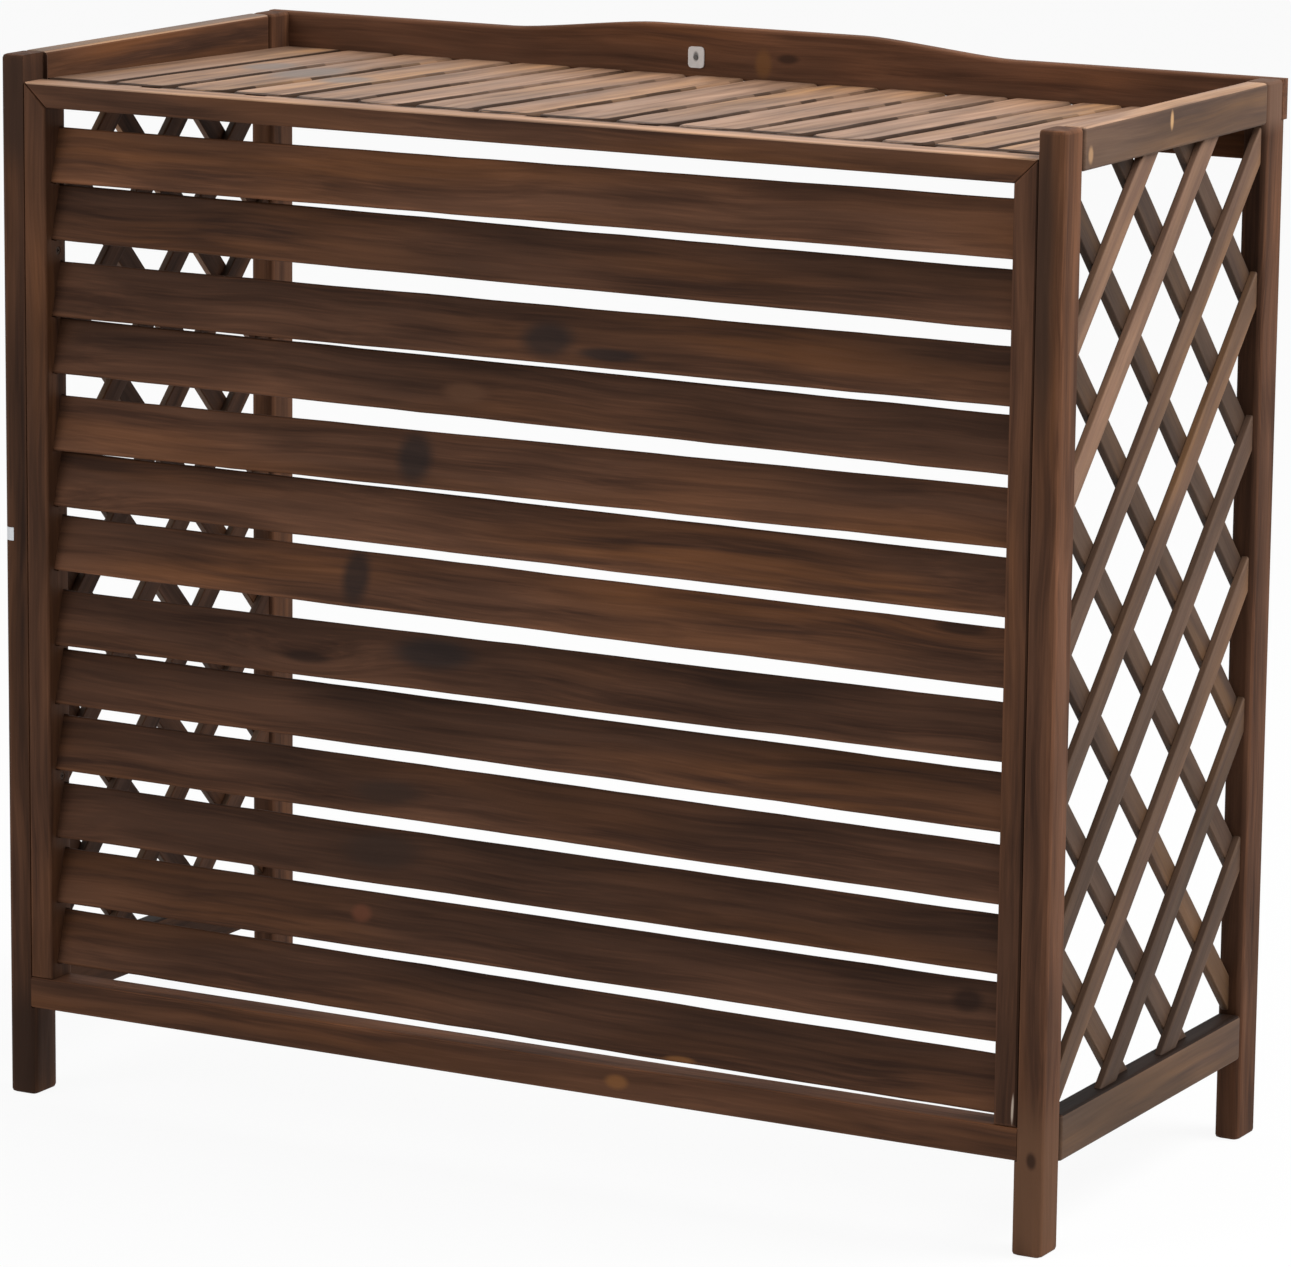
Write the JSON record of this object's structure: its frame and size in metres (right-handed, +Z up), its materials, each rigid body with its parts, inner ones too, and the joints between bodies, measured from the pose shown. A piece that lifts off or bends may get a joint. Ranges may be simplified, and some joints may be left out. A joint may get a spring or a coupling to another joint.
{
  "type": "air conditioner screen",
  "caption": "Free-standing stained wood cover for an outdoor air conditioner unit: louvred front, lattice sides, boarded shelf top with a low gallery, open back and base.",
  "frame": {"origin": "on the floor, under the middle of the bounding box", "axes": "+Z up, the louvre panel faces -Y, +X to the right as seen from the front"},
  "size_m": [0.96, 0.43, 0.8915],
  "materials": {
    "front_timber": "dark brown stain, satin",
    "side_timber": "brown stain, satin",
    "deck_timber": "brown stain, satin",
    "steel": "zinc plated",
    "tag": "white"
  },
  "bodies": {
    "root": {"Front_left_post": "front_timber", "Front_right_post": "front_timber", "Rear_left_post": "front_timber", "Rear_right_post": "front_timber", "Corner_clip": "steel", "Louvre_left_stile": "front_timber", "Louvre_right_stile": "front_timber", "Louvre_top_rail": "front_timber", "Louvre_bottom_rail": "front_timber", "Louvre_slat_01": "front_timber", "Louvre_slat_02": "front_timber", "Louvre_slat_03": "front_timber", "Louvre_slat_04": "front_timber", "Louvre_slat_05": "front_timber", "Louvre_slat_06": "front_timber", "Louvre_slat_07": "front_timber", "Louvre_slat_08": "front_timber", "Louvre_slat_09": "front_timber", "Louvre_slat_10": "front_timber", "Louvre_slat_11": "front_timber", "Louvre_slat_12": "front_timber", "Louvre_slat_13": "front_timber", "Left_top_rail": "side_timber", "Left_bottom_rail": "side_timber", "Right_top_rail": "side_timber", "Right_bottom_rail": "side_timber", "Left_lattice": "side_timber", "Right_lattice": "side_timber", "Deck_board_01": "deck_timber", "Deck_board_02": "deck_timber", "Deck_board_03": "deck_timber", "Deck_board_04": "deck_timber", "Deck_board_05": "deck_timber", "Deck_board_06": "deck_timber", "Deck_board_07": "deck_timber", "Deck_board_08": "deck_timber", "Deck_board_09": "deck_timber", "Deck_board_10": "deck_timber", "Deck_board_11": "deck_timber", "Deck_board_12": "deck_timber", "Deck_board_13": "deck_timber", "Deck_board_14": "deck_timber", "Deck_board_15": "deck_timber", "Deck_board_16": "deck_timber", "Deck_front_bearer": "front_timber", "Gallery_back_board": "front_timber", "Rear_apron": "front_timber", "White_tag": "tag", "Tag_pin": "steel", "Panel_screw_1": "steel", "Panel_screw_2": "steel", "Panel_screw_3": "steel", "Panel_screw_4": "steel", "Back_board_screw_1": "steel", "Back_board_screw_2": "steel", "Back_board_screw_3": "steel", "Back_board_screw_4": "steel"}
  },
  "joints": []
}
